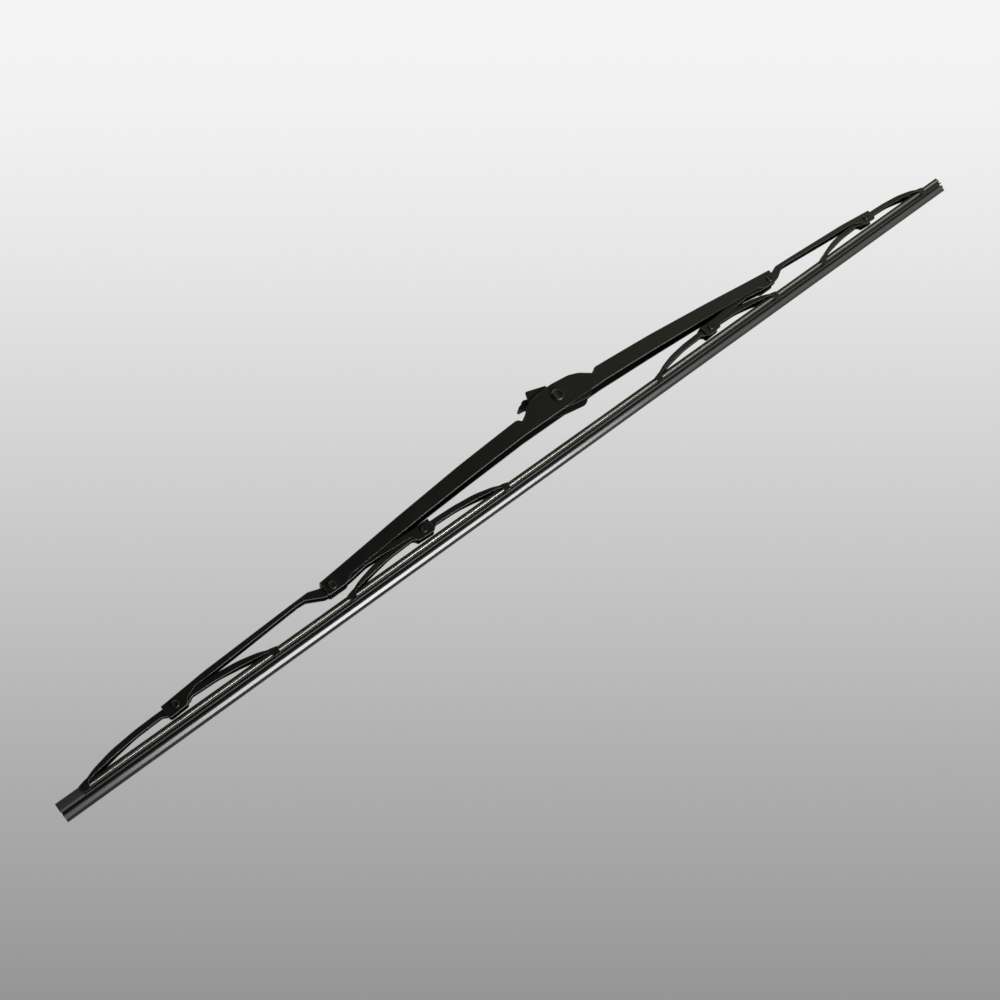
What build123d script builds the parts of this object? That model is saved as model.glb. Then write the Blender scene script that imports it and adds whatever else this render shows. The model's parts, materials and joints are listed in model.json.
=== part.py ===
import os
from build123d import *

# Framed wiper blade for a hook-ended arm. The origin is on the centre pin's axis, +X runs along the blade
# and +Z points away from the glass. Heights are given above the rubber's edge and turned into Z by level().

# The blade as a whole
blade_length = 650.0
rubber_shift = 2.5  # the rubber's middle from the pin, away from its solid end
pin_height = 33.1  # centre pin's axis above the rubber's edge
bridge_pivot_x = 165.4  # bridge rivets from the middle
bridge_pivot_height = 18.3
outer_pivot_x = 257.7  # yoke rivets from the middle
inner_pivot_x = 109.6
claw_pivot_height = 15.1
claw_reach = 50.9  # a yoke's rivet to the middle of each of its claws

# Rubber section, from its edge up
lip_height = 3.7
lip_edge_width = 0.7
lip_edge_height = 1.4  # upright part of the lip, at its edge
lip_root_width = 3.4
lip_root_height = 0.7  # upright part of the lip, under the neck
neck_height = 1.2
neck_width = 1.1
shoulder_height = 0.8
shoulder_width = 5.2
shoulder_slope = 0.2
claw_groove_depth = 1.1  # cut in from the head's side
middle_land_height = 0.7
head_land_height = 1.7
head_width = 5.0
head_chamfer = 0.5
end_block_length = 12.0  # solid end of the rubber, where the strips stop
end_block_radius = 1.0

# Spring strips in the rubber's side grooves
strip_thickness = 0.9
strip_width = 2.2
strip_web = 2.0  # rubber left between the two strips
strip_play = 0.03
strip_end_setback = 0.4
strip_corner = 0.4

# Sheet steel
bridge_sheet = 1.0
secondary_sheet = 0.8
claw_sheet = 0.7
bend_radius = 0.6  # outside of the bends along the top of each yoke
plan_radius = 60.0  # where a yoke's sides start and end their taper

# Fits
liner_sheet = 0.3
turning_gap = 0.1  # each side, between a liner and the yoke around it
pivot_clearance = 0.05  # radial, where a yoke turns on a rivet
claw_play = 0.06  # above and below a claw's tips in the rubber's groove
claw_side_play = 0.15  # beside the strips
claw_head_play = 0.15  # above the rubber's head
claw_tip_gap = 0.3  # between a claw's tip and the bottom of the rubber's groove

# Main bridge: (share of the way out to its rivet, share of the rise from rivet to pin, corner radius)
bridge_top = ((0.181, 1.115, 160.0), (0.441, 0.946, 160.0), (0.713, 0.689, 160.0))
bridge_lower = ((0.181, 0.446, 40.0), (0.417, 0.331, 60.0), (0.623, 0.203, 60.0), (0.834, 0.041, 20.0))
bridge_lower = bridge_lower + ((0.931, -0.041, 4.0),)
bridge_taper = (0.27, 0.90)  # shares of the way out where the sides close in
# Ends of the bridge from its rivet: (along, up, corner radius)
bridge_end_top = ((4.3, 5.1, 0.0),)
bridge_cheek = ((-6.5, -3.2, 3.0), (4.3, -3.2, 1.5))
bridge_middle_width = 13.4
# Half of the window through the bridge's top and of the ears beside it, from the pin: (along, up, radius)
window_edge = ((27.3, -0.6, 0.6), (28.6, 0.9, 1.0), (31.5, 2.1, 0.0))
ear_edge = ((2.0, 7.6, 8.0), (13.5, 6.4, 12.0), (19.5, 4.2, 12.0), (26.3, -0.8, 0.0))

# Secondary yoke from its inner, bridge and outer rivets: (along, up, corner radius)
secondary_width = 6.6
secondary_top_inner = ((-5.4, 3.8, 0.0), (7.0, 3.8, 12.0), (21.5, 5.1, 30.0))
secondary_top_seat = ((-16.5, 3.0, 30.0), (5.5, 3.0, 4.0), (11.7, 5.1, 3.0), (25.0, 4.6, 60.0))
secondary_top_outer = ((-19.0, 5.6, 90.0), (5.8, 3.4, 0.0))
secondary_lower_outer = ((5.8, -3.9, 1.5), (-4.4, -3.3, 1.2), (-5.8, -0.8, 3.0), (-11.5, 1.9, 4.0))
secondary_lower_outer = secondary_lower_outer + ((-27.7, 2.8, 60.0),)
secondary_lower_seat = ((44.5, 0.9, 100.0), (19.5, 2.5, 6.0), (15.0, 2.2, 3.0), (6.0, -2.5, 4.0))
secondary_lower_seat = secondary_lower_seat + ((-5.5, -2.8, 6.0), (-10.5, -2.4, 8.0), (-20.5, -1.0, 10.0))
secondary_lower_inner = ((20.4, 1.3, 12.0), (7.6, 0.4, 1.5), (5.4, -3.3, 1.2), (-5.4, -3.9, 1.5))

# Claw yoke from its rivet: (share of the way out to the claw, up, corner radius)
claw_crown = ((0.196, 2.2, 40.0), (0.432, 1.7, 60.0), (0.668, 0.15, 50.0), (0.864, -2.5, 30.0))
claw_lower = ((0.118, -2.2, 1.5), (0.160, -0.9, 2.0), (0.432, -1.4, 60.0), (0.668, -3.0, 50.0))
claw_lower = claw_lower + ((0.884, -5.0, 12.0),)
claw_flare = (0.47, 0.86)  # shares of the way out where the sides spread
claw_foot_length = 4.8
claw_tip_length = 3.2
claw_neck_depth = 1.6  # top of the foot to the arm's lower edge
claw_shoulder_radius = 4.0
claw_armpit_radius = 1.0
claw_corner = 0.4
claw_end_drop = 1.2  # the foot's top is cut down towards its outer end

# Rivets, the centre pin and the plastic liners
yoke_rivet_diameter = 2.4
yoke_rivet_head = 4.0
bridge_rivet_diameter = 3.0
bridge_rivet_head = 4.6
rivet_head_height = 0.9
dome_share = 0.55  # of a head's height
pin_diameter = 4.4
pin_head = 7.4
pin_head_height = 1.6
liner_half_length = 4.0
liner_drop = 2.1  # below the rivet's axis
liner_radius = 0.6

# Arm adapter, in its own level frame about the pin: (along, up, corner radius)
arm_width = 9.0
arm_play = 0.1  # each side of the arm's hook
adapter_cheek = 0.9
adapter_tilt = 16.5  # end with the tongue raised
adapter_side = ((-16.4, 8.4, 1.0), (-3.7, 8.4, 0.6), (-3.1, 6.5, 0.5), (21.0, 6.5, 6.0))
adapter_side = adapter_side + ((21.0, -5.6, 5.5), (5.0, -7.6, 20.0), (-18.3, -8.2, 2.5))
adapter_core = ((-15.6, 3.6, 0.8), (9.0, 3.6, 3.9), (9.0, -4.4, 3.9), (-15.6, -4.4, 0.8))
adapter_tongue = ((-14.6, 4.6, 0.0), (-19.7, 4.6, 0.8), (-20.7, 3.0, 0.8), (-22.8, 1.8, 0.6))
adapter_tongue = adapter_tongue + ((-23.3, 0.8, 0.5), (-22.3, 0.2, 0.5))
adapter_tongue = adapter_tongue + ((-19.0, 0.8, 0.8), (-14.6, 0.8, 0.0))
tongue_width = 6.0

# Heights up the rubber's section
shoulder_floor = lip_height + neck_height
groove_floor = shoulder_floor + shoulder_height
groove_roof = groove_floor + claw_sheet + 2 * claw_play
strip_floor = groove_roof + middle_land_height + strip_play
strip_roof = strip_floor + strip_thickness
head_roof = strip_roof + strip_play + head_land_height

# Half widths, from the rubber outwards
strip_half = strip_web / 2 + strip_width
claw_half = strip_half + claw_side_play + claw_sheet
groove_half = head_width / 2 - claw_groove_depth
claw_tip_half = groove_half + claw_tip_gap
adapter_half = arm_width / 2 + arm_play + adapter_cheek
bridge_half = bridge_middle_width / 2
secondary_half = secondary_width / 2
claw_hub_half = secondary_half - secondary_sheet - turning_gap - liner_sheet
bridge_end_half = secondary_half + liner_sheet + turning_gap + bridge_sheet

# For cutting and for telling edges apart
far = 500.0  # past everything
past = 1.0  # how far a plan runs on beyond the outline it trims
hair = 0.01


def level(height):
    return height - pin_height


def about(points, x, height):
    """Points measured from a rivet, put in their place."""
    return [(x + along, level(height) + up, radius) for along, up, radius in points]


def both_ends(points):
    """A half outline from the middle outwards, led by its mirror image."""
    return [(-x, *rest) for x, *rest in reversed(points)] + [tuple(p) for p in points]


def outline(points):
    """A closed face from points with a corner radius each."""
    corners = [(x, z) for x, z, radius in points]
    return make_face(FilletPolyline(*corners, radius=[radius for x, z, radius in points], close=True))


def across(face, width):
    """A side outline in X and Z, spread evenly over a width in Y."""
    return extrude(Plane.XZ * face, width / 2, both=True)


def plan(points):
    """A half plan in X and Y, mirrored over Y and carried through every height."""
    ends = (points[0], points[-1])
    half = [(x, y, 0.0 if (x, y) in ends else plan_radius) for x, y in points]
    return extrude(outline(half + [(x, -y, radius) for x, y, radius in reversed(half)]), far, both=True)


def hole(x, height, diameter):
    return Pos(x, 0, level(height)) * Rot(90, 0, 0) * Cylinder(diameter / 2, far)


def height_at(points, x):
    """Height of a run of straight lines at x."""
    for (x0, z0, radius), (x1, z1, radius) in zip(points, points[1:]):
        if x0 <= x <= x1:
            return z0 + (z1 - z0) * (x - x0) / (x1 - x0)
    return points[0][1] if x < points[0][0] else points[-1][1]


def is_bend(edge, top):
    """True for the long edges between the top plate and a side wall."""
    middle = edge.position_at(0.5)
    runs_along = abs(edge.position_at(1).X - edge.position_at(0).X) > 5 * hair
    return runs_along and abs(middle.Y) > hair and abs(middle.Z - height_at(top, middle.X)) < 2 * bend_radius


def folded(top, lower, plan_points, sheet):
    """A pressed channel, open below: a top plate that follows the top line and two side walls."""
    body = across(outline(top + lower), far) & plan(plan_points)
    body = fillet([edge for edge in body.edges() if is_bend(edge, top)], bend_radius)
    first_x = top[0][0] - far
    last_x = top[-1][0] + far
    under = [(x, z - sheet, radius) for x, z, radius in top]
    under = [(first_x, under[0][1], 0.0)] + under + [(last_x, under[-1][1], 0.0)]
    hollow_side = across(outline(under + [(last_x, -far, 0.0), (first_x, -far, 0.0)]), far)
    hollow_plan = [(x, y - sheet) for x, y in plan_points]
    hollow_plan = [(first_x, hollow_plan[0][1])] + hollow_plan[1:-1] + [(last_x, hollow_plan[-1][1])]
    return body - (hollow_side & plan(hollow_plan))


def make_bridge():
    rise = pin_height - bridge_pivot_height
    half_top = [(bridge_pivot_x * out, rise * up, radius) for out, up, radius in bridge_top]
    half_lower = [(bridge_pivot_x * out, rise * up, radius) for out, up, radius in bridge_lower]
    half_top = about(half_top, 0, bridge_pivot_height)
    half_top = half_top + about(bridge_end_top, bridge_pivot_x, bridge_pivot_height)
    half_lower = about(half_lower, 0, bridge_pivot_height)
    half_lower = half_lower + about(bridge_cheek, bridge_pivot_x, bridge_pivot_height)
    taper_start, taper_end = (bridge_pivot_x * share for share in bridge_taper)
    widths = [(taper_start, bridge_half), (taper_end, bridge_end_half)]
    widths = widths + [(half_top[-1][0] + past, bridge_end_half)]
    lower = both_ends(half_lower)[::-1]
    body = folded(both_ends(half_top), lower, both_ends(widths), bridge_sheet)
    window = both_ends(window_edge)
    window = window + [(window[-1][0], far, 0.0), (window[0][0], far, 0.0)]
    body = body - across(outline(window), far)
    ears = across(outline(both_ends(ear_edge)), 2 * bridge_half)
    body = body + (ears - Box(far, 2 * (bridge_half - bridge_sheet), far))
    for x in (-bridge_pivot_x, bridge_pivot_x):
        body = body - hole(x, bridge_pivot_height, bridge_rivet_diameter)
    return body - hole(0, pin_height, pin_diameter)


def make_secondary():
    """The right-hand secondary yoke, inner end first."""
    inner = (inner_pivot_x, claw_pivot_height)
    seat = (bridge_pivot_x, bridge_pivot_height)
    outer = (outer_pivot_x, claw_pivot_height)
    top = about(secondary_top_inner, *inner) + about(secondary_top_seat, *seat)
    top = top + about(secondary_top_outer, *outer)
    lower = about(secondary_lower_outer, *outer) + about(secondary_lower_seat, *seat)
    lower = lower + about(secondary_lower_inner, *inner)
    widths = [(top[0][0] - past, secondary_half), (top[-1][0] + past, secondary_half)]
    body = folded(top, lower, widths, secondary_sheet)
    for x, height in (inner, outer):
        body = body - hole(x, height, yoke_rivet_diameter)
    return body - hole(*seat, bridge_rivet_diameter + 2 * pivot_clearance)


def make_claw_yoke():
    """A claw yoke about its rivet at x = 0."""
    foot_in = claw_reach - claw_foot_length / 2
    foot_out = claw_reach + claw_foot_length / 2
    foot_top = level(head_roof + claw_head_play + claw_sheet)
    foot_floor = level(groove_floor + claw_play)
    crown = about([(claw_reach * out, up, radius) for out, up, radius in claw_crown], 0, claw_pivot_height)
    half_top = crown + [(foot_in, foot_top, claw_shoulder_radius), (foot_out, foot_top, 0.0)]
    half_lower = [(claw_reach * out, up, radius) for out, up, radius in claw_lower]
    half_lower = about(half_lower, 0, claw_pivot_height)
    half_lower = half_lower + [(foot_in, foot_top - claw_neck_depth, claw_armpit_radius)]
    half_lower = half_lower + [(claw_reach - claw_tip_length / 2, foot_floor, claw_corner)]
    half_lower = half_lower + [(claw_reach + claw_tip_length / 2, foot_floor, claw_corner)]
    widths = [(claw_reach * claw_flare[0], claw_hub_half), (claw_reach * claw_flare[1], claw_half)]
    widths = widths + [(foot_out + past, claw_half)]
    body = folded(both_ends(half_top), both_ends(half_lower)[::-1], both_ends(widths), claw_sheet)
    cut_start = (foot_in + claw_corner, foot_top, 0.0)
    cut_end = (foot_out, foot_top - claw_end_drop, 0.0)
    wedge = across(outline([cut_start, cut_end, (foot_out, foot_top, 0.0)]), far)
    body = body - wedge - mirror(wedge, Plane.YZ)
    tip_width = claw_half - claw_tip_half
    tip = Box(claw_tip_length, tip_width, claw_sheet)
    for end in (-1, 1):
        for side in (-1, 1):
            tip_y = side * (claw_tip_half + tip_width / 2)
            body = body + Pos(end * claw_reach, tip_y, foot_floor + claw_sheet / 2) * tip
    return body - hole(0, claw_pivot_height, yoke_rivet_diameter + 2 * pivot_clearance)


def make_liner(half_inside, top_height, pivot_height, bore):
    """A plastic packing over an inner yoke: two side pads joined over its top."""
    floor = level(pivot_height - liner_drop)
    height = level(top_height) + liner_sheet - floor
    body = Pos(0, 0, floor + height / 2) * Box(2 * liner_half_length, 2 * (half_inside + liner_sheet), height)
    body = fillet(body.edges().filter_by(Axis.Y), liner_radius)
    inside = Pos(0, 0, level(top_height) - far / 2) * Box(far, 2 * half_inside, far)
    return body - inside - hole(0, pivot_height, bore)


def make_rivet(diameter, head, head_height, half_grip):
    """A round-headed rivet along Y, both ends headed."""
    bulge = head_height * dome_share
    dome_radius = ((head / 2) ** 2 + bulge**2) / (2 * bulge)
    foot = (Align.CENTER, Align.CENTER, Align.MIN)
    cap = Cylinder(head / 2, head_height, align=foot)
    cap = cap & Pos(0, 0, head_height - dome_radius) * Sphere(dome_radius)
    cap = Pos(0, 0, half_grip) * cap
    rivet = Cylinder(diameter / 2, 2 * half_grip) + cap + Rot(180, 0, 0) * cap
    return Rot(90, 0, 0) * rivet


def make_rubber():
    half = [
        (lip_edge_width / 2, 0),
        (lip_edge_width / 2, lip_edge_height),
        (lip_root_width / 2, lip_height - lip_root_height),
        (lip_root_width / 2, lip_height),
        (neck_width / 2, lip_height),
        (neck_width / 2, shoulder_floor),
        (shoulder_width / 2, shoulder_floor),
        (shoulder_width / 2, groove_floor - shoulder_slope),
        (head_width / 2, groove_floor),
        (groove_half, groove_floor),
        (groove_half, groove_roof),
        (head_width / 2, groove_roof),
        (head_width / 2, strip_floor - strip_play),
        (strip_web / 2 - strip_play, strip_floor - strip_play),
        (strip_web / 2 - strip_play, strip_roof + strip_play),
        (head_width / 2, strip_roof + strip_play),
        (head_width / 2, head_roof - head_chamfer),
        (head_width / 2 - head_chamfer, head_roof),
    ]
    right = [(y, level(height)) for y, height in half]
    ring = right + [(-y, z) for y, z in reversed(right)]
    section = Plane.YZ * make_face(Polyline(*ring, close=True))
    body = Pos(rubber_shift, 0, 0) * extrude(section, blade_length / 2, both=True)
    block_height = head_roof - shoulder_floor
    block = Box(end_block_length, 2 * strip_half, block_height)
    block = fillet(block.edges().filter_by(Axis.X), end_block_radius)
    block_x = rubber_shift + end_block_length / 2 - blade_length / 2
    return body + Pos(block_x, 0, level(shoulder_floor) + block_height / 2) * block


def make_strip(side):
    start = rubber_shift + end_block_length - blade_length / 2 + strip_play
    end = rubber_shift + blade_length / 2 - strip_end_setback
    strip = Box(end - start, strip_width, strip_thickness)
    strip = fillet(strip.edges().filter_by(Axis.Z), strip_corner)
    y = side * (strip_web / 2 + strip_width / 2)
    return Pos((start + end) / 2, y, level(strip_floor) + strip_thickness / 2) * strip


def make_adapter():
    whole = across(outline(adapter_side), 2 * adapter_half)
    slot = Box(far, arm_width + 2 * arm_play, far)
    core = across(outline(adapter_core), 2 * adapter_half - adapter_cheek)
    tongue = across(outline(adapter_tongue), tongue_width)
    bore = Rot(90, 0, 0) * Cylinder(pin_diameter / 2 + pivot_clearance, far)
    return Rot(0, adapter_tilt, 0) * (whole - slot + core + tongue - bore)


def place_rivet(rivet, x, height):
    return Pos(x, 0, level(height)) * rivet


parts = {}
parts["main_bridge"] = make_bridge()
parts["centre_pin"] = make_rivet(pin_diameter, pin_head, pin_head_height, bridge_half)
parts["arm_adapter"] = make_adapter()
parts["wiper_rubber"] = make_rubber()
parts["spring_strip_front"] = make_strip(-1)
parts["spring_strip_rear"] = make_strip(1)

bridge_rivet = make_rivet(bridge_rivet_diameter, bridge_rivet_head, rivet_head_height, bridge_end_half)
yoke_rivet = make_rivet(yoke_rivet_diameter, yoke_rivet_head, rivet_head_height, secondary_half)
secondary_right = make_secondary()
claw_yoke = make_claw_yoke()
bridge_liner = make_liner(
    secondary_half,
    bridge_pivot_height + secondary_top_seat[0][1],
    bridge_pivot_height,
    bridge_rivet_diameter + 2 * pivot_clearance,
)
claw_liner = make_liner(
    claw_hub_half,
    claw_pivot_height + claw_crown[0][1],
    claw_pivot_height,
    yoke_rivet_diameter + 2 * pivot_clearance,
)
for name, side in (("left", -1), ("right", 1)):
    secondary = secondary_right if side > 0 else mirror(secondary_right, Plane.YZ)
    parts[f"secondary_yoke_{name}"] = secondary
    parts[f"bridge_liner_{name}"] = Pos(side * bridge_pivot_x, 0, 0) * bridge_liner
    parts[f"bridge_rivet_{name}"] = place_rivet(bridge_rivet, side * bridge_pivot_x, bridge_pivot_height)
    for place, pivot_x in (("outer", outer_pivot_x), ("inner", inner_pivot_x)):
        x = side * pivot_x
        parts[f"claw_yoke_{place}_{name}"] = Pos(x, 0, 0) * claw_yoke
        parts[f"claw_liner_{place}_{name}"] = Pos(x, 0, 0) * claw_liner
        parts[f"yoke_rivet_{place}_{name}"] = place_rivet(yoke_rivet, x, claw_pivot_height)

os.makedirs("parts", exist_ok=True)
for name, shape in parts.items():
    export_step(shape, f"parts/{name}.step")
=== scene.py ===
import json
import math

import bmesh
import bpy
from mathutils import Matrix, Vector

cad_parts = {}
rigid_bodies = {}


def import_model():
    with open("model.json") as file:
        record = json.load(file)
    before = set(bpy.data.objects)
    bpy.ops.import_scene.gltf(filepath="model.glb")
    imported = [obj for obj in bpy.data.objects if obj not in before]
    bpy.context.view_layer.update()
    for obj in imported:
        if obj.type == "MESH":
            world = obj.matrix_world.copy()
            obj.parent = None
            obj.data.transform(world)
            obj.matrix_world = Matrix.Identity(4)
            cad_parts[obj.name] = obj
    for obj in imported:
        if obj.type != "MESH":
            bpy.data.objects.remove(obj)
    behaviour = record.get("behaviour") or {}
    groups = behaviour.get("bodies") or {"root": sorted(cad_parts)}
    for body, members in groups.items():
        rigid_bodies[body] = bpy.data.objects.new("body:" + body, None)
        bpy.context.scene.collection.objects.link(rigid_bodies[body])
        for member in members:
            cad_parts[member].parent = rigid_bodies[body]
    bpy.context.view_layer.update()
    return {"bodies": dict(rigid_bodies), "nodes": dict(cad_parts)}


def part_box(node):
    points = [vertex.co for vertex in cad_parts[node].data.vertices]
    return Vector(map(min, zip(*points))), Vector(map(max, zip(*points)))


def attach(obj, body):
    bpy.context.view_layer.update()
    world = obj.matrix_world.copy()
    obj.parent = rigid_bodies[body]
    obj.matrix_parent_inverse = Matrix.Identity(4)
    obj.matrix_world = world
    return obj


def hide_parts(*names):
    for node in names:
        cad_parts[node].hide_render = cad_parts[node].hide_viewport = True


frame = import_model()
nodes = frame["nodes"]
bodies = frame["bodies"]
print("frame loaded,", len(nodes), "nodes")

weldDistance = 2e-6  # points closer than this are one


# helpers for objects and their meshes

def addObject(name, data):
    piece = bpy.data.objects.new(name, data)
    bpy.context.scene.collection.objects.link(piece)
    return piece


def shadeSmooth(mesh, sharpAngle):
    for polygon in mesh.polygons:
        polygon.use_smooth = True
    mesh.set_sharp_from_angle(angle=math.radians(sharpAngle))


def treeMesh(piece, tree, values):
    # the plain mesh that a node tree makes of a piece
    modifier = piece.modifiers.new(tree.name, "NODES")
    modifier.node_group = tree
    for item in tree.interface.items_tree:
        if item.in_out == "INPUT" and item.name in values:
            modifier[item.identifier] = values[item.name]
    bpy.context.view_layer.update()
    shaped = piece.evaluated_get(bpy.context.evaluated_depsgraph_get())
    return bpy.data.meshes.new_from_object(shaped)


# helpers for node trees

def addNode(tree, kind, inputs=None, **settings):
    node = tree.nodes.new(kind)
    for key, value in settings.items():
        setattr(node, key, value)
    for key, value in (inputs or {}).items():
        if isinstance(value, bpy.types.NodeSocket):
            tree.links.new(value, node.inputs[key])
        else:
            node.inputs[key].default_value = value
    return node


def link(tree, source, target):
    tree.links.new(source, target)


def mathNode(tree, operation, first, second, clamp=False):
    node = addNode(tree, "ShaderNodeMath", {0: first, 1: second}, operation=operation, use_clamp=clamp)
    return node.outputs[0]


def dot(tree, first, second):
    node = addNode(tree, "ShaderNodeVectorMath", {0: first, 1: second}, operation="DOT_PRODUCT")
    return node.outputs["Value"]


def stretched(tree, place, factors):
    node = addNode(tree, "ShaderNodeVectorMath", {0: place, 1: factors}, operation="MULTIPLY")
    return node.outputs[0]


def rescale(tree, value, low, high, toLow, toHigh):
    node = addNode(tree, "ShaderNodeMapRange", {0: value, 1: low, 2: high, 3: toLow, 4: toHigh})
    return node.outputs[0]


def mixColour(tree, share, first, second):
    node = addNode(tree, "ShaderNodeMix", {0: share, 6: first, 7: second}, data_type="RGBA")
    return node.outputs[2]


def noise(tree, place, scale, detail):
    node = addNode(tree, "ShaderNodeTexNoise", {"Vector": place, "Scale": scale, "Detail": detail})
    return node.outputs[0]


def bump(tree, height, distance, strength, normal=None):
    inputs = {"Height": height, "Distance": distance, "Strength": strength}
    if normal is not None:
        inputs["Normal"] = normal
    return addNode(tree, "ShaderNodeBump", inputs).outputs[0]


def objectPlace(tree):
    return addNode(tree, "ShaderNodeTexCoord").outputs["Object"]


def restPlace(tree):
    # where a point of the bending pieces lies at rest, kept on the mesh
    return addNode(tree, "ShaderNodeAttribute", attribute_name="restPlace").outputs["Vector"]


def softNormal(tree, radius):
    return addNode(tree, "ShaderNodeBevel", {"Radius": radius}, samples=6).outputs[0]


def edgeShare(tree, reach, low, high):
    # 0 on the flats, 1 on edges sharper than the reach
    flat = addNode(tree, "ShaderNodeNewGeometry").outputs["True Normal"]
    return rescale(tree, dot(tree, softNormal(tree, reach), flat), high, low, 0.0, 1.0)


def newFinish(name):
    material = bpy.data.materials.new(name)
    material.use_nodes = True
    tree = material.node_tree
    return material, tree, tree.nodes["Principled BSDF"]


# black stoved paint on the pressed steel, patterns counted per metre
blackPaint = {
    "colour": (0.0034, 0.0035, 0.0030, 1),
    "edgeWearAndHighlight": (0.058, 0.059, 0.054, 1),  # paler edges: worn paint, and a painted highlight along the sheet edges
    "dust": (0.030, 0.029, 0.026, 1),
    "edge": 0.0005,  # how far in from an edge the paler colour reaches
    "corner": 0.00022,  # how round a corner looks
    "patches": 90.0,  # where the paler edges are stronger
    "specks": 2600.0,
    "cloud": 45.0,  # slow change of gloss
    "peel": 700.0,  # orange peel
    "peelHeight": 0.00002,
    "roughness": (0.25, 0.37),
    "specular": 0.29,
}
# rivets: the same black, rubbed brighter over the crown
rivetBlack = dict(blackPaint, edgeWearAndHighlight=(0.012, 0.012, 0.011, 1), peel=1400.0, edge=0.0006)


def makePaint(name, look):
    material, tree, shader = newFinish(name)
    place = objectPlace(tree)
    # paler edges: partly worn paint, partly a painted highlight along the edges
    patches = rescale(tree, noise(tree, place, look["patches"], 4.0), 0.30, 0.70, 0.50, 1.0)
    edgeWearAndHighlightShare = mathNode(tree, "MULTIPLY", edgeShare(tree, look["edge"], 0.75, 0.97), patches)
    specks = rescale(tree, noise(tree, place, look["specks"], 2.0), 0.68, 0.74, 0.0, 0.5)
    base = mixColour(tree, edgeWearAndHighlightShare, look["colour"], look["edgeWearAndHighlight"])
    base = mixColour(tree, specks, base, look["dust"])
    link(tree, base, shader.inputs["Base Color"])
    rough = rescale(tree, noise(tree, place, look["cloud"], 4.0), 0.3, 0.7, *look["roughness"])
    rough = mathNode(tree, "ADD", rough, mathNode(tree, "MULTIPLY", specks, 0.3), clamp=True)
    link(tree, rough, shader.inputs["Roughness"])
    shader.inputs["Specular IOR Level"].default_value = look["specular"]
    peel = noise(tree, place, look["peel"], 2.0)
    relief = bump(tree, peel, look["peelHeight"], 0.35, softNormal(tree, look["corner"]))
    link(tree, relief, shader.inputs["Normal"])
    return material


# moulded clip: fine spark-eroded grain
clipPlastic = {
    "colour": (0.0034, 0.0035, 0.0032, 1),
    # paler edges: rubbed plastic, and a painted sheen along the edges
    "rubbedAndSheen": (0.016, 0.016, 0.015, 1),
    "edge": 0.0004,
    "corner": 0.0003,
    "patches": 260.0,
    "flow": (60.0, 220.0, 220.0),  # flow marks, along and across
    "grain": 3200.0,
    "grainHeight": 0.00003,
    "roughness": (0.42, 0.58),
    "specular": 0.18,
}


def makeClipPlastic(look):
    material, tree, shader = newFinish("mouldedClipPlastic")
    place = objectPlace(tree)
    patches = rescale(tree, noise(tree, place, look["patches"], 3.0), 0.35, 0.7, 0.2, 0.9)
    # paler edges: partly rubbed plastic, partly a painted sheen
    edgeWearAndHighlightShare = mathNode(tree, "MULTIPLY", edgeShare(tree, look["edge"], 0.7, 0.96), patches)
    link(tree, mixColour(tree, edgeWearAndHighlightShare, look["colour"], look["rubbedAndSheen"]), shader.inputs["Base Color"])
    flow = noise(tree, stretched(tree, place, look["flow"]), 1.0, 4.0)
    link(tree, rescale(tree, flow, 0.3, 0.7, *look["roughness"]), shader.inputs["Roughness"])
    shader.inputs["Specular IOR Level"].default_value = look["specular"]
    grain = noise(tree, place, look["grain"], 1.0)
    relief = bump(tree, grain, look["grainHeight"], 0.5, softNormal(tree, look["corner"]))
    link(tree, relief, shader.inputs["Normal"])
    return material


# thin packing between the yokes, a paler natural plastic darkened by grease
linerPlastic = {
    "colour": (0.020, 0.020, 0.019, 1),
    "greasy": (0.008, 0.008, 0.007, 1),
    "film": 350.0,
    "grain": 2500.0,
    "grainHeight": 0.00002,
    "roughness": (0.55, 0.32),
}


def makeLinerPlastic(look):
    material, tree, shader = newFinish("yokePackingPlastic")
    place = objectPlace(tree)
    film = noise(tree, place, look["film"], 4.0)
    grease = rescale(tree, film, 0.4, 0.6, 0.0, 1.0)
    link(tree, mixColour(tree, grease, look["colour"], look["greasy"]), shader.inputs["Base Color"])
    link(tree, rescale(tree, film, 0.35, 0.65, *look["roughness"]), shader.inputs["Roughness"])
    grain = noise(tree, place, look["grain"], 1.0)
    link(tree, bump(tree, grain, look["grainHeight"], 0.3), shader.inputs["Normal"])
    return material


# rolled spring steel: fine lines along the strip, a little oil staining
springSteel = {
    "bright": (0.37, 0.36, 0.315, 1),
    "stain": (0.24, 0.23, 0.185, 1),
    "lines": (6.0, 2500.0, 2500.0),
    "lineHeight": 0.00001,
    "stains": (9.0, 160.0, 160.0),
    "roughness": (0.38, 0.45),
}


def makeSpringSteel(look):
    material, tree, shader = newFinish("rolledSpringSteel")
    place = restPlace(tree)
    stains = noise(tree, stretched(tree, place, look["stains"]), 1.0, 3.0)
    share = rescale(tree, stains, 0.42, 0.68, 0.0, 0.8)
    link(tree, mixColour(tree, share, look["bright"], look["stain"]), shader.inputs["Base Color"])
    shader.inputs["Metallic"].default_value = 1.0
    lines = noise(tree, stretched(tree, place, look["lines"]), 1.0, 2.0)
    rough = rescale(tree, lines, 0.3, 0.7, *look["roughness"])
    rough = mathNode(tree, "ADD", rough, mathNode(tree, "MULTIPLY", share, 0.12))
    link(tree, rough, shader.inputs["Roughness"])
    link(tree, bump(tree, lines, look["lineHeight"], 0.12), shader.inputs["Normal"])
    return material


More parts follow.
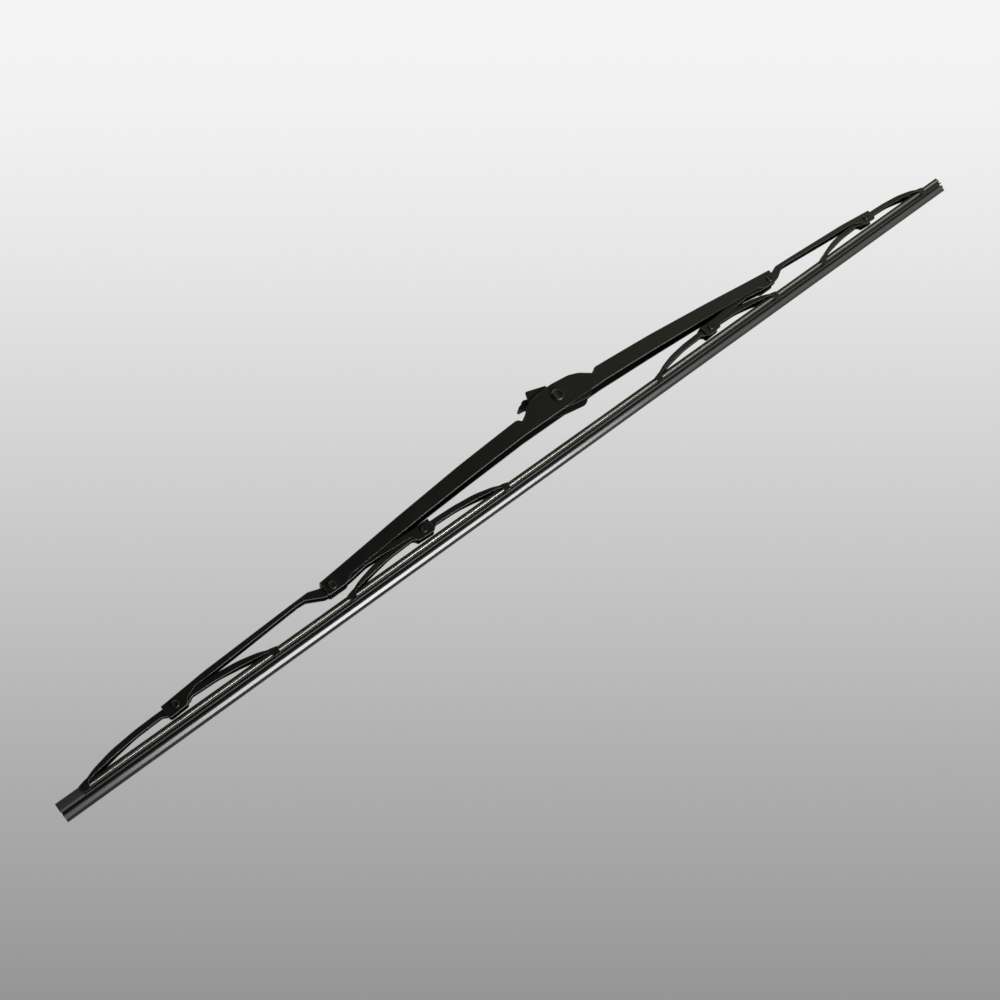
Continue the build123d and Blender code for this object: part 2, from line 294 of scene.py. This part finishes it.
# extruded rubber: a dull body and a smoother lip, with faint lines from the die
wiperRubber = {
    "body": (0.0110, 0.0114, 0.0118, 1),
    "bloom": (0.030, 0.031, 0.032, 1),
    "lip": (0.020, 0.0205, 0.0215, 1),
    "lipTop": -0.0292,  # just under the neck
    "lipFade": 0.0003,
    "bloomSpread": (16.0, 220.0, 220.0),
    "dieLines": (3.0, 1800.0, 1800.0),
    "pores": 700.0,
    "relief": 0.00001,
    "bodyRoughness": (0.44, 0.60),
    "lipRoughness": (0.26, 0.34),
    "specular": 0.45,
}


def makeRubber(look):
    material, tree, shader = newFinish("extrudedRubber")
    place = restPlace(tree)
    height = addNode(tree, "ShaderNodeSeparateXYZ", {0: place}).outputs["Z"]
    lip = rescale(tree, height, look["lipTop"], look["lipTop"] - look["lipFade"], 0.0, 1.0)
    bloom = noise(tree, stretched(tree, place, look["bloomSpread"]), 1.0, 4.0)
    chalk = rescale(tree, bloom, 0.48, 0.72, 0.0, 0.7)
    bodyColour = mixColour(tree, chalk, look["body"], look["bloom"])
    lipColour = mixColour(tree, mathNode(tree, "MULTIPLY", chalk, 0.4), look["lip"], look["bloom"])
    link(tree, mixColour(tree, lip, bodyColour, lipColour), shader.inputs["Base Color"])
    dull = rescale(tree, bloom, 0.3, 0.7, *look["bodyRoughness"])
    smooth = rescale(tree, bloom, 0.3, 0.7, *look["lipRoughness"])
    rough = addNode(tree, "ShaderNodeMix", {0: lip, 2: dull, 3: smooth}, data_type="FLOAT").outputs[0]
    link(tree, rough, shader.inputs["Roughness"])
    shader.inputs["Specular IOR Level"].default_value = look["specular"]
    dieLines = noise(tree, stretched(tree, place, look["dieLines"]), 1.0, 2.0)
    pores = mathNode(tree, "MULTIPLY", noise(tree, place, look["pores"], 2.0), 0.4)
    relief = mathNode(tree, "ADD", dieLines, pores)
    link(tree, bump(tree, relief, look["relief"], 0.1), shader.inputs["Normal"])
    return material


paintFinish = makePaint("blackStovedPaint", blackPaint)
rivetFinish = makePaint("blackRivetPaint", rivetBlack)
clipFinish = makeClipPlastic(clipPlastic)
linerFinish = makeLinerPlastic(linerPlastic)
steelFinish = makeSpringSteel(springSteel)
rubberFinish = makeRubber(wiperRubber)

finishes = {
    "main_bridge": paintFinish,
    "secondary_yoke": paintFinish,
    "claw_yoke": paintFinish,
    "bridge_rivet": rivetFinish,
    "yoke_rivet": rivetFinish,
    "centre_pin": rivetFinish,
    "bridge_liner": linerFinish,
    "claw_liner": linerFinish,
    "arm_adapter": clipFinish,
}
for name, node in nodes.items():
    for start, finish in finishes.items():
        if name.startswith(start):
            node.data.materials.clear()
            node.data.materials.append(finish)
print("finishes made:", len(bpy.data.materials))


# both node trees start with named inputs and end in plain geometry with a finish

def startTree(name, inputs, output):
    tree = bpy.data.node_groups.new(name, "GeometryNodeTree")
    for label, kind in inputs.items():
        tree.interface.new_socket(label, in_out="INPUT", socket_type="NodeSocket" + kind)
    tree.interface.new_socket(output, in_out="OUTPUT", socket_type="NodeSocketGeometry")
    return tree, tree.nodes.new("NodeGroupInput").outputs


def endTree(tree, shape, finish, output):
    shape = addNode(tree, "GeometryNodeRealizeInstances", {0: shape}).outputs[0]
    shape = addNode(tree, "GeometryNodeSetMaterial", {"Geometry": shape, "Material": finish}).outputs[0]
    addNode(tree, "NodeGroupOutput", {output: shape})


# one tree carries a closed section along the blade

def buildRunTree():
    inputs = {"Section": "Geometry", "Start": "Float", "End": "Float", "Steps": "Int", "Finish": "Material"}
    tree, given = startTree("runAlongBlade", inputs, "Run")
    first = addNode(tree, "ShaderNodeCombineXYZ", {"X": given["Start"]}).outputs[0]
    last = addNode(tree, "ShaderNodeCombineXYZ", {"X": given["End"]}).outputs[0]
    line = addNode(tree, "GeometryNodeCurvePrimitiveLine", {"Start": first, "End": last}).outputs[0]
    line = addNode(tree, "GeometryNodeResampleCurve", {"Curve": line, "Count": given["Steps"]}).outputs[0]
    line = addNode(tree, "GeometryNodeSetCurveNormal", {"Curve": line}, mode="Z_UP").outputs[0]
    swept = {"Curve": line, "Profile Curve": given["Section"]}
    run = addNode(tree, "GeometryNodeCurveToMesh", swept).outputs[0]
    endTree(tree, run, given["Finish"], "Run")
    return tree


runTree = buildRunTree()


def rounded(points, steps=4, mostOfSide=0.45):
    # each corner becomes a short arc, smaller where its sides are short
    made = []
    for i, (y, z, soft) in enumerate(points):
        here = Vector((y, z))
        before = Vector(points[i - 1][:2]) - here
        after = Vector(points[(i + 1) % len(points)][:2]) - here
        start = here + before.normalized() * min(soft, mostOfSide * before.length)
        end = here + after.normalized() * min(soft, mostOfSide * after.length)
        for k in range(steps + 1):
            t = k / steps
            made.append(start * (1 - t) ** 2 + here * 2 * t * (1 - t) + end * t ** 2)
    return made


def sectionCurve(name, points):
    curve = bpy.data.curves.new(name, "CURVE")
    curve.dimensions = "2D"
    curve.fill_mode = "NONE"
    spline = curve.splines.new("POLY")
    spline.points.add(len(points) - 1)
    for target, point in zip(spline.points, points):
        target.co = (-point[0], -point[1], 0, 1)
    spline.use_cyclic_u = True
    return curve


def runMesh(name, points, start, end, spacing, finish):
    curve = sectionCurve(name, points)
    piece = addObject(name, curve)
    steps = max(2, round((end - start) / spacing) + 1)
    mesh = treeMesh(piece, runTree, {"Start": start, "End": end, "Steps": steps, "Finish": finish})
    bpy.data.objects.remove(piece)
    bpy.data.curves.remove(curve)
    return mesh


def closeEnd(mesh, x, outside):
    # fills the open edges at x with faces that look along outside, 1 or -1
    work = bmesh.new()
    work.from_mesh(mesh)
    rims = [edge for edge in work.edges if edge.is_boundary]
    loop = [edge for edge in rims if all(abs(v.co.x - x) < weldDistance / 2 for v in edge.verts)]
    made = bmesh.ops.triangle_fill(work, edges=loop, use_beauty=True)
    work.normal_update()
    for face in made["geom"]:
        if isinstance(face, bmesh.types.BMFace) and face.normal.x * outside < 0:
            face.normal_flip()
    work.to_mesh(mesh)
    work.free()


def joinMeshes(name, meshes):
    work = bmesh.new()
    for mesh in meshes:
        work.from_mesh(mesh)
    bmesh.ops.remove_doubles(work, verts=work.verts, dist=weldDistance)
    joined = bpy.data.meshes.new(name)
    work.to_mesh(joined)
    work.free()
    for material in meshes[0].materials:
        joined.materials.append(material)
    for mesh in meshes:
        bpy.data.meshes.remove(mesh)
    return joined


# where the blade's stretches begin and end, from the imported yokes
footRoom = 0.0052  # a rigid stretch reaches this far past its claws
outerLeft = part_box("claw_yoke_outer_left")
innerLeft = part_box("claw_yoke_inner_left")
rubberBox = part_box("wiper_rubber")
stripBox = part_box("spring_strip_front")
leftX, rightX = rubberBox[0].x, rubberBox[1].x
spanOut = -outerLeft[1].x - footRoom
spanIn = -innerLeft[0].x + footRoom
midSpan = -innerLeft[1].x - footRoom

stretches = (
    # name, start, end, the body it rides on, the two bodies it bends between
    ("LeftEnd", leftX, -spanOut, "claw_outer_left", None),
    ("LeftSpan", -spanOut, -spanIn, "secondary_left", ("claw_outer_left", "claw_inner_left")),
    ("LeftInner", -spanIn, -midSpan, "claw_inner_left", None),
    ("Middle", -midSpan, midSpan, "bridge", ("claw_inner_left", "claw_inner_right")),
    ("RightInner", midSpan, spanIn, "claw_inner_right", None),
    ("RightSpan", spanIn, spanOut, "secondary_right", ("claw_inner_right", "claw_outer_right")),
    ("RightEnd", spanOut, rightX, "claw_outer_right", None),
)
print("stretches end at", [round(stretch[2], 4) for stretch in stretches])


def keepRestPlace(mesh):
    place = mesh.attributes.new("restPlace", "FLOAT_VECTOR", "POINT")
    for i, vertex in enumerate(mesh.vertices):
        place.data[i].vector = vertex.co


def bendBetween(piece, start, end, pair):
    # the piece follows the first body at its start and the second at its end
    weights = [piece.vertex_groups.new(name=body) for body in pair]
    for vertex in piece.data.vertices:
        t = min(1.0, max(0.0, (vertex.co.x - start) / (end - start)))
        share = t * t * (3 - 2 * t)
        weights[0].add([vertex.index], 1 - share, "REPLACE")
        weights[1].add([vertex.index], share, "REPLACE")
    for body in pair:
        hook = piece.modifiers.new("follow" + body, "HOOK")
        hook.object = bodies[body]
        hook.vertex_group = body
        hook.falloff_type = "NONE"


def placeStretch(name, mesh, stretch, targets):
    label, start, end, body, pair = stretch
    keepRestPlace(mesh)
    shadeSmooth(mesh, 38)
    piece = addObject(name + label, mesh)
    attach(piece, body)
    for target in targets:
        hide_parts(target)
    if pair:
        bendBetween(piece, start, end, pair)


# rubber, drawn from its edge up in millimetres: half width, height and how far the corner is softened
rubberPiece = {
    "lip": ((0.35, 0.0, 0.06), (0.35, 1.4, 0.3), (1.7, 3.0, 0.35), (1.7, 3.7, 0.2),
            (0.55, 3.7, 0.2), (0.55, 4.9, 0.3)),
    "head": ((2.6, 4.9, 0.25), (2.6, 5.5, 0.1), (2.5, 5.7, 0.1), (1.4, 5.7, 0.15),
             (1.4, 6.52, 0.15), (2.5, 6.52, 0.2), (2.5, 7.22, 0.2), (0.97, 7.22, 0.1),
             (0.97, 8.18, 0.1), (2.5, 8.18, 0.2), (2.5, 9.38, 0.3), (2.0, 9.88, 0.3)),
    "block": ((3.2, 4.87, 1.0), (3.2, 9.91, 1.2)),  # a hair proud of the head all round
    "blockLength": 0.012,
    "spanSpacing": 0.002,
    "spacing": 0.008,
}


def fullSection(half):
    foot = rubberBox[0].z
    right = [(y / 1000, foot + z / 1000, soft / 1000) for y, z, soft in half]
    return rounded(right + [(-y, z, soft) for y, z, soft in reversed(right)])


def makeRubberPieces(look):
    section = fullSection(look["lip"] + look["head"])
    blockSection = fullSection(look["lip"] + look["block"])
    for stretch in stretches:
        label, start, end, _, pair = stretch
        spacing = look["spanSpacing"] if pair else look["spacing"]
        begin = start + look["blockLength"] if label == "LeftEnd" else start
        mesh = runMesh("wiperRubber" + label, section, begin, end, spacing, rubberFinish)
        if label == "LeftEnd":
            block = runMesh("rubberBlock", blockSection, start, begin, look["spacing"], rubberFinish)
            mesh = joinMeshes("wiperRubber" + label, [mesh, block])
            closeEnd(mesh, begin, 1)  # the step from the block down to the head
        closeEnd(mesh, start, -1)
        closeEnd(mesh, end, 1)
        placeStretch("wiperRubber", mesh, stretch, ["wiper_rubber"])


makeRubberPieces(rubberPiece)
print("rubber made")

# spring strips in the rubber's side grooves
stripPiece = {"softness": 0.0003, "spanSpacing": 0.002, "spacing": 0.02}


def makeStripPieces(look):
    low, high = stripBox
    soft = look["softness"]
    ring = [(low.y, low.z, soft), (high.y, low.z, soft), (high.y, high.z, soft), (low.y, high.z, soft)]
    front = rounded(ring)
    rear = rounded([(-y, z, soft) for y, z, soft in reversed(ring)])
    targets = ["spring_strip_front", "spring_strip_rear"]
    for stretch in stretches:
        label, start, end, _, pair = stretch
        spacing = look["spanSpacing"] if pair else look["spacing"]
        begin = max(start, low.x)
        finish = min(end, high.x)
        meshes = []
        for side in (front, rear):
            mesh = runMesh("springStrip" + label, side, begin, finish, spacing, steelFinish)
            closeEnd(mesh, begin, -1)
            closeEnd(mesh, finish, 1)
            meshes.append(mesh)
        mesh = joinMeshes("springStrip" + label, meshes)
        placeStretch("springStrips", mesh, stretch, targets)


makeStripPieces(stripPiece)
print("strips made")

# rivets and the centre pin, turned from a half profile and set out on their axes
rivetPieces = {
    # the nodes they stand for, the body, the shank's radius and the head's height
    "bridgeRivets": (("bridge_rivet_left", "bridge_rivet_right"), "bridge", 0.0015, 0.0009),
    "centrePin": (("centre_pin",), "bridge", 0.0022, 0.0016),
    "yokeRivetsLeft": (("yoke_rivet_outer_left", "yoke_rivet_inner_left"),
                       "secondary_left", 0.0012, 0.0009),
    "yokeRivetsRight": (("yoke_rivet_outer_right", "yoke_rivet_inner_right"),
                        "secondary_right", 0.0012, 0.0009),
}
# a peened head: share of its radius and of its height, from the dished crown out to the rim and in under it
headShape = ((0.02, 0.70), (0.30, 0.73), (0.52, 0.84), (0.66, 0.97), (0.76, 1.0),
             (0.86, 0.93), (0.95, 0.72), (0.995, 0.42), (1.0, 0.12), (0.97, 0.01))


def buildRivetTree():
    inputs = {"Places": "Geometry", "Profile": "Object", "Finish": "Material"}
    tree, given = startTree("rivetSet", inputs, "Rivets")
    profile = addNode(tree, "GeometryNodeObjectInfo", {"Object": given["Profile"]}).outputs["Geometry"]
    ring = addNode(tree, "GeometryNodeCurvePrimitiveCircle", {"Resolution": 48, "Radius": 1e-6}).outputs[0]
    turned = addNode(tree, "GeometryNodeCurveToMesh", {"Curve": ring, "Profile Curve": profile}).outputs[0]
    level = {"Geometry": turned, "Rotation": (math.pi / 2, 0, 0)}
    turned = addNode(tree, "GeometryNodeTransform", level).outputs[0]
    spin = addNode(tree, "FunctionNodeRandomValue", {"Min": (0, 0, 0), "Max": (0, 6.28, 0), "Seed": 7},
                   data_type="FLOAT_VECTOR").outputs[0]
    placed = {"Points": given["Places"], "Instance": turned, "Rotation": spin}
    rivets = addNode(tree, "GeometryNodeInstanceOnPoints", placed).outputs[0]
    endTree(tree, rivets, given["Finish"], "Rivets")
    return tree


rivetTree = buildRivetTree()


def rivetProfile(name, radius, height, shank, half):
    side = [(radius * r, half + height * h) for r, h in headShape] + [(shank, half)]
    outline = side + [(r, -y) for r, y in reversed(side)]
    curve = bpy.data.curves.new(name, "CURVE")
    spline = curve.splines.new("POLY")
    spline.points.add(len(outline) - 1)
    for target, (r, y) in zip(spline.points, outline):
        target.co = (r, y, 0, 1)
    return addObject(name, curve)


def makeRivets(name, targets, body, shank, height):
    boxes = [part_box(target) for target in targets]
    low, high = boxes[0]
    profile = rivetProfile(name + "Profile", (high.x - low.x) / 2, height, shank, high.y - height)
    points = bpy.data.meshes.new(name + "Places")
    points.from_pydata([(least + most) / 2 for least, most in boxes], [], [])
    holder = addObject(name + "Places", points)
    mesh = treeMesh(holder, rivetTree, {"Profile": profile, "Finish": rivetFinish})
    for used in (holder, profile):
        bpy.data.objects.remove(used)
    work = bmesh.new()
    work.from_mesh(mesh)
    bmesh.ops.remove_doubles(work, verts=work.verts, dist=weldDistance)
    bmesh.ops.holes_fill(work, edges=[edge for edge in work.edges if edge.is_boundary])
    bmesh.ops.recalc_face_normals(work, faces=work.faces)
    work.to_mesh(mesh)
    work.free()
    shadeSmooth(mesh, 50)
    piece = addObject(name, mesh)
    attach(piece, body)
    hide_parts(*targets)


for name, values in rivetPieces.items():
    makeRivets(name, *values)
print("rivets made")

# camera, from the photograph's own perspective: metres, degrees and millimetres
view = {
    "place": (-0.25737, -0.48888, -0.147175),
    "turn": 21.4794,
    "rise": 12.7561,
    "roll": 40.5826,
    "lens": 36.0,
    "sensor": 36.0,
    "nearest": 0.01,
}


def viewAxes(look):
    turn, rise, roll = (math.radians(look[key]) for key in ("turn", "rise", "roll"))
    ahead = Vector((math.sin(turn) * math.cos(rise), math.cos(turn) * math.cos(rise), math.sin(rise)))
    level = Vector((math.cos(turn), -math.sin(turn), 0))
    below = ahead.cross(level)
    right = math.cos(roll) * level + math.sin(roll) * below
    down = -math.sin(roll) * level + math.cos(roll) * below
    return ahead, right, -down


def addCamera(look):
    lensData = bpy.data.cameras.new("photoView")
    lensData.lens = look["lens"]
    lensData.sensor_width = look["sensor"]
    lensData.clip_start = look["nearest"]
    camera = addObject("photoView", lensData)
    turned = Matrix((right, up, -ahead)).transposed().to_4x4()
    camera.matrix_world = Matrix.Translation(look["place"]) @ turned
    bpy.context.scene.camera = camera


ahead, right, up = viewAxes(view)
addCamera(view)

# what the world shows: the backdrop's tones from the foot of the picture to its head for the camera,
# a plain tone on every other side, and a room that is darker on the left for reflections
backdrop = {
    "tones": ((0.0, 0.301), (0.25, 0.434), (0.5, 0.610), (0.75, 0.799), (0.9, 0.888), (1.0, 0.905)),
    "plain": (0.72, 0.72, 0.72, 1),
    "ambient": (0.30, 0.30, 0.30, 1),
    "roomLeft": (0.030, 0.030, 0.030, 1),
    "roomRight": (0.88, 0.90, 0.62, 1),
    "roomSpan": (0.27, 0.85),  # from dark to bright across the room
    "cone": (0.70, 0.81),  # the tones fade out just past the picture's corners
    "turnover": 0.15,  # half of the blend between ahead and behind
    "leastDepth": 0.4,
}


def makeWorld(look):
    world = bpy.data.worlds.new("studio")
    bpy.context.scene.world = world
    world.use_nodes = True
    tree = world.node_tree
    way = addNode(tree, "ShaderNodeTexCoord").outputs["Generated"]
    facing = dot(tree, way, ahead)
    depth = mathNode(tree, "MAXIMUM", facing, look["leastDepth"])
    climb = mathNode(tree, "DIVIDE", dot(tree, way, up), depth)
    ramp = addNode(tree, "ShaderNodeValToRGB", {0: rescale(tree, climb, -0.5, 0.5, 0.0, 1.0)})
    stops = ramp.color_ramp.elements
    while len(stops) < len(look["tones"]):
        stops.new(0.5)
    for stop, (place, tone) in zip(stops, look["tones"]):
        stop.position = place
        stop.color = (tone, tone, tone, 1)
    inView = rescale(tree, facing, *look["cone"], 0.0, 1.0)
    shown = mixColour(tree, inView, look["plain"], ramp.outputs[0])
    side = addNode(tree, "ShaderNodeSeparateXYZ", {0: way}).outputs["X"]
    across = rescale(tree, side, *look["roomSpan"], 0.0, 1.0)
    room = mixColour(tree, across, look["roomLeft"], look["roomRight"])
    behind = rescale(tree, facing, look["turnover"], -look["turnover"], 0.0, 1.0)
    mirrored = mixColour(tree, behind, ramp.outputs[0], room)
    rays = addNode(tree, "ShaderNodeLightPath").outputs
    seen = mathNode(tree, "MAXIMUM", rays["Is Camera Ray"], rays["Is Transmission Ray"])
    tone = mixColour(tree, seen, look["ambient"], shown)
    tone = mixColour(tree, rays["Is Glossy Ray"], tone, mirrored)
    link(tree, tone, tree.nodes["Background"].inputs[0])


makeWorld(backdrop)

# pale floor well below the blade, fading out into the backdrop
floorLook = {
    "height": -0.72,
    "reach": 0.85,
    "fade": (0.45, 0.98),  # shares of the reach
    "colour": (0.72, 0.72, 0.72, 1),
    "roughness": 0.9,
}


def makeFloor(look):
    work = bmesh.new()
    bmesh.ops.create_circle(work, cap_ends=True, segments=96, radius=look["reach"])
    bmesh.ops.translate(work, verts=work.verts, vec=(0, 0, look["height"]))
    mesh = bpy.data.meshes.new("studioFloor")
    work.to_mesh(mesh)
    work.free()
    material, tree, shader = newFinish("paleFloor")
    flat = stretched(tree, objectPlace(tree), (1, 1, 0))
    out = addNode(tree, "ShaderNodeVectorMath", {0: flat}, operation="LENGTH").outputs["Value"]
    near, far = (share * look["reach"] for share in look["fade"])
    link(tree, rescale(tree, out, near, far, 1.0, 0.0), shader.inputs["Alpha"])
    shader.inputs["Base Color"].default_value = look["colour"]
    shader.inputs["Roughness"].default_value = look["roughness"]
    mesh.materials.append(material)
    floor = addObject("studioFloor", mesh)


makeFloor(floorLook)

# soft boxes: size, place, what it faces, power
softBoxes = {
    "overhead": ((1.6, 1.0), (0.1, 0.1, 1.3), (0, 0, 0), 16.0),
    "lowFront": ((0.56, 0.30), (0.02, -0.28, -0.62), (-0.05, 0, -0.03), 14.0),
    "backFill": ((1.6, 0.8), (0.1, 1.2, -0.30), (0, 0, 0), 2.5),
}


def addSoftBox(name, size, place, target, power):
    data = bpy.data.lights.new(name, "AREA")
    data.shape = "RECTANGLE"
    data.size, data.size_y = size
    data.energy = power
    box = addObject(name, data)
    box.location = place
    box.rotation_euler = (Vector(target) - Vector(place)).to_track_quat("-Z", "Y").to_euler()
    box.visible_camera = False


for name, values in softBoxes.items():
    addSoftBox(name, *values)
bpy.context.scene.view_settings.view_transform = "Standard"
print("stage set")
